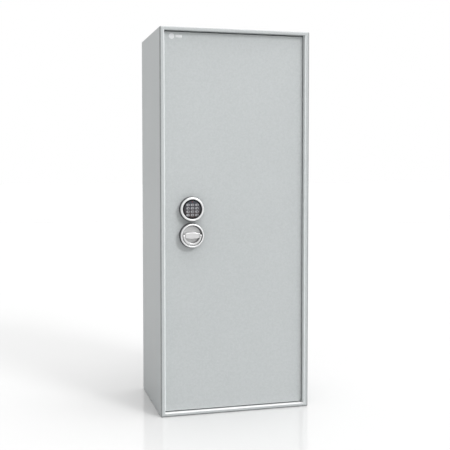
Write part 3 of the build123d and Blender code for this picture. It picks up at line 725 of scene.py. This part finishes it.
def handle_ring():
    """Fixed rosette: rounded rim, fine step against the door, straight recess and a floor."""
    front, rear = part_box("handle_ring")[0].y, DOOR_FACE
    rim, roll, step, bevel, edge = 3.0 * MM, 1.2 * MM, 2 * MM, 0.3 * MM, 1 * MM
    outer, inner, floor, bore = BRIGHT_RADIUS, RECESS, DOOR_FACE - 4 * MM, 9 * MM
    back = front + RING_BAND
    profile = [(bore, rear), (outer - step, rear), (outer - step, back), (outer - bevel, back),
               (outer, back - bevel)]
    profile += arc((outer - rim, front + rim), rim, 0, 90, 8)
    profile += arc((inner + roll, front + roll), roll, 90, 180, 5)
    profile += [(inner, floor - edge), (inner - edge, floor), (bore, floor)]
    ring = turned("handle_ring_bright", (HANDLE.x, HANDLE.z), profile, 128, ring=True)
    settle(ring, "door", "satin_ring", "handle_ring", finish="handle_satin")
    collar("handle_collar", HANDLE, front, rear, outer - step, "handle_ring")


def handle_dish():
    """Turning plate: soft raised edge, fine turned step, a square seat, and a near-black band
    round its rim that is painted shadow in the gap next to the ring.
    """
    low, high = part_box("handle_dish")
    radius = (high.x - low.x) / 2
    front, rear = low.y, high.y
    bevel, rim, groove, plate = 0.6 * MM, 1.5 * MM, 0.35 * MM, 0.05 * MM
    profile = [(radius - bevel, rear), (radius, rear - bevel), (radius, front + 1.6 * MM)]
    profile += arc((radius - rim, front + rim), rim, 10, 90, 6)
    profile += [(radius - 3.2 * MM, front), (radius - 3.6 * MM, front + groove),
                (radius - 4.2 * MM, front + groove), (radius - 4.6 * MM, front + plate)]
    profile += [(8 * MM, front + plate), (0, front + plate)]
    dish = turned("handle_dish_turned", (HANDLE.x, HANDLE.z), profile, 128)
    seat = SQUARE_HALF
    hole = add_box("square_seat", (HANDLE.x - seat, front - THROUGH, HANDLE.z - seat),
                   (HANDLE.x + seat, rear + THROUGH, HANDLE.z + seat))
    cut(dish, hole)
    settle(dish, "handle", "grey_dish", "handle_dish")
    # near-black band: painted shadow of the gap between the plate and the ring
    outer, inner, face = radius - 0.15 * MM, radius - 2.3 * MM, front - 0.5 * MM
    foot, edge = front + 2.2 * MM, 0.2 * MM
    band_profile = [(outer, foot), (outer, face + edge), (outer - edge, face),
                    (inner + edge, face), (inner, face + edge), (inner, foot)]
    band = turned("dish_gap_shade_band", (HANDLE.x, HANDLE.z), band_profile, 128, ring=True)
    settle(band, "handle", "grey_dish", finish="gap_shade_band")


def handle_bail():
    """Swing-out crescent: rounded all along, with round ears on its pivots."""
    front, rear = BAIL_FRONT, BAIL_REAR
    x, z = HANDLE.x, HANDLE.z
    outer, inner, lowered, raised = 31.8 * MM, 27 * MM, 1 * MM, 1.6 * MM
    ear_start, ear_end, ear_radius, pin_radius = 27.0 * MM, 31.7 * MM, 4.6 * MM, 2.08 * MM
    half_width, half_pin_way = 0.05, 0.04
    crescent = add_rod("bail_crescent", (x, front, z - lowered), (x, rear, z - lowered),
                       outer, 128)
    inside = add_rod("bail_inside", (x, front - THROUGH, z + raised),
                     (x, rear + THROUGH, z + raised), inner, 128)
    upper = add_box("bail_upper", (x - half_width, front - THROUGH, z),
                    (x + half_width, rear + THROUGH, z + half_width))
    cut(crescent, inside, upper)
    soften(crescent, 0.9 * MM)
    for side in (-1, 1):
        ear = add_rod("bail_ear", (x + side * ear_start, BAIL_PIVOT, z),
                      (x + side * ear_end, BAIL_PIVOT, z), ear_radius, 40)
        soften(ear, 0.7 * MM)
        cut(crescent, ear, how="UNION")
    pin_way = add_rod("pin_way", (x - half_pin_way, BAIL_PIVOT, z),
                      (x + half_pin_way, BAIL_PIVOT, z), pin_radius, 24)
    cut(crescent, pin_way)
    crescent.name = "bail_swing"
    settle(crescent, "bail", "satin_grip", "handle_bail", smooth=40)


# ---------------------------------------------------------------- screws, badge and sill

def screw_head(name, centre, radius, height):
    """Pan head with a six-sided socket, standing on the door's rear plate."""
    top = centre.y + height
    shoulder = ((1.0, 0.0), (1.0, 0.45), (0.93, 0.75), (0.72, 0.94))
    profile = [(radius * out, centre.y + height * up) for out, up in shoulder]
    profile += [(radius * 0.5, top), (0, top)]
    head = turned(name, (centre.x, centre.z), profile, 40)
    socket = add_rod("socket", (centre.x, top - height * 0.6, centre.z),
                     (centre.x, top + height, centre.z), radius * 0.5, 6)
    cut(head, socket)
    return head


def cover_screws():
    """Four screws of the mechanism cover, each a head with a socket, a shank and a washer."""
    low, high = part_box("fixing_screws")
    head, shank, washer_thick, washer_edge = 4.75 * MM, 2.5 * MM, 0.6 * MM, 0.9 * MM
    seat = high.y - 3 * MM
    for side, x in (("left", low.x + head), ("right", high.x - head)):
        for end, z in (("low", low.z + head), ("high", high.z - head)):
            on_washer = seat + washer_thick
            screw = screw_head("cover_screw", Vector((x, on_washer, z)), head, 2.4 * MM)
            stem = add_rod("stem", (x, low.y, z), (x, seat + 1 * MM, z), shank, 32)
            washer = add_rod("washer", (x, seat, z), (x, on_washer, z), head + washer_edge, 40)
            soften(washer, 0.2 * MM, 2)
            screw = join(screw, stem, washer)
            screw.name = f"cover_screw_{side}_{end}"
            settle(screw, "door", "zinc_steel", "fixing_screws")


def guide_screws():
    """Two small screws on the foot of every rod guide."""
    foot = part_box("door_back_plate")[1].y + 3 * MM
    from_end, from_middle_of_guide = 4.2, 9
    for number, (height, half, inward) in enumerate(ROD_GUIDES):
        for side, sign in (("left", -1), ("right", 1)):
            place = Vector((HANDLE.x + sign * (half - from_end) * MM, foot,
                            (height + from_middle_of_guide * inward) * MM))
            screw = screw_head("guide_screw", place, 3.0 * MM, 2.0 * MM)
            screw.name = f"guide_screw_{number + 1}_{side}"
            settle(screw, "door", "zinc_steel")


def blank_badge():
    """Plain disc with a fine rim and a plain strip of pale film at the door's top left corner."""
    low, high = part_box("blank_badge")
    front = low.y
    radius, strip_half, strip_start, strip_end = 9.5 * MM, 4.2 * MM, 13 * MM, 36 * MM
    disc_x, up = low.x + radius, (low.z + high.z) / 2 + 7.5 * MM
    sunk = 0.25 * MM
    profile = [(radius, high.y), (radius, front + 0.15 * MM), (radius - 0.2 * MM, front),
               (radius - 1.3 * MM, front), (radius - 1.5 * MM, front + sunk),
               (0, front + sunk)]
    disc = turned("badge_disc", (disc_x, up), profile, 64)
    settle(disc, "door", "badge_white", "blank_badge")
    strip = rounded_block("badge_strip", (disc_x + strip_start, front + 0.1 * MM, up - strip_half),
                          (disc_x + strip_end, high.y, up + strip_half), 2 * MM)
    soften(strip, 0.12 * MM, 2, 50)
    settle(strip, "door", "badge_white", "blank_badge")


def sill_strip():
    """Near-white strip laid on the sill in front of the door, with rolled upper edges; its
    near-white tone is a painted highlight along the sill.
    """
    reach = JAMB - 0.6 * MM
    sill, thick = MID_HEIGHT - JAMB_UP, 0.7 * MM
    strip = add_box("sill_strip", (-reach, FRONT + 2.2 * MM, sill),
                    (reach, DOOR_FACE - 1.2 * MM, sill + thick))
    near_top = sill + 0.6 * MM
    pick_edges(strip, lambda place, way: abs(way.x) > 0.9 and place.z > near_top)
    bpy.ops.mesh.bevel(offset=0.5 * MM, segments=3, affect="EDGES")
    bpy.ops.object.mode_set(mode="OBJECT")
    settle(strip, "cabinet", "zinc_steel", finish="sill_bright")


# ---------------------------------------------------------------- floor, lights and camera

FLOOR_TONE, FLOOR_ROUGHNESS = 0.60, 0.10
LEFT_WALL_TONE = 0.72               # the studio's left wall is a little darker
CAMERA_PLACE = (-0.7513, -2.8913, 0.8649)
CAMERA_YAW, CAMERA_PITCH = 14.751, 2.778
LENS, SHIFT_UP = 65.33, -0.05


def make_floor():
    material, tree, shader = new_material("floor_white")
    shader.inputs["Base Color"].default_value = (FLOOR_TONE, FLOOR_TONE, FLOOR_TONE, 1)
    shader.inputs["Roughness"].default_value = FLOOR_ROUGHNESS
    bpy.ops.mesh.primitive_plane_add(size=60, location=(0, 0, 0))
    floor = bpy.context.object
    floor.name = "floor"
    floor.data.materials.append(material)


def hang_lamp(name, data, way):
    lamp_object = bpy.data.objects.new(name, data)
    lamp_object.rotation_euler = Vector(way).to_track_quat("-Z", "Y").to_euler()
    bpy.context.scene.collection.objects.link(lamp_object)
    return lamp_object


def area_light(name, place, aim, side, power):
    data = bpy.data.lights.new(name, "AREA")
    data.shape = "RECTANGLE"
    data.size = data.size_y = side
    data.energy = power
    hang_lamp(name, data, Vector(aim) - Vector(place)).location = place


def soft_sun(name, way, power, spread_angle):
    data = bpy.data.lights.new(name, "SUN")
    data.energy = power
    data.angle = radians(spread_angle)
    hang_lamp(name, data, way)


def light_the_studio():
    """White room light, a main light from the right, a ceiling light and two weak lights."""
    world = bpy.data.worlds.new("studio")
    bpy.context.scene.world = world
    world.use_nodes = True
    tree = world.node_tree
    background = tree.nodes["Background"]
    background.inputs["Strength"].default_value = 1.0
    way = tree.nodes.new("ShaderNodeTexCoord")
    across, _, _ = split(tree, way.outputs["Generated"])
    tone = spread(tree, across, LEFT_WALL_TONE, 1.0, -0.9, -0.1)
    grey = tree.nodes.new("ShaderNodeCombineColor")
    for channel in ("Red", "Green", "Blue"):
        tree.links.new(tone, grey.inputs[channel])
    tree.links.new(grey.outputs["Color"], background.inputs["Color"])
    soft_sun("main_light", (-0.45, 0.72, -0.55), 1.4, 16)
    soft_sun("ceiling_light", (-0.12, 0.12, -1.0), 1.6, 40)
    area_light("left_light", (-1.1, -2.8, 2.2), (-0.15, -0.2, 0.66), 0.3, 1.2)
    area_light("top_light", (0.6, -2.2, 3.0), (0, -0.2, 0.9), 1.6, 4)
    bpy.context.scene.view_settings.view_transform = "Standard"


def place_camera():
    data = bpy.data.cameras.new("camera")
    data.sensor_width = 36
    data.lens = LENS
    data.shift_y = SHIFT_UP
    camera = bpy.data.objects.new("camera", data)
    camera.location = CAMERA_PLACE
    camera.rotation_euler = (pi / 2 - radians(CAMERA_PITCH), 0, -radians(CAMERA_YAW))
    bpy.context.scene.collection.objects.link(camera)
    bpy.context.scene.camera = camera


mix_finishes()
dress_cad_nodes()
keypad_ring()
keypad_face()
for key_name, sign in KEY_LEGENDS.items():
    key(key_name, sign, key_name.replace("key_", "button_"))
lamp()
handle_ring()
handle_dish()
handle_bail()
cover_screws()
guide_screws()
blank_badge()
sill_strip()
make_floor()
light_the_studio()
place_camera()
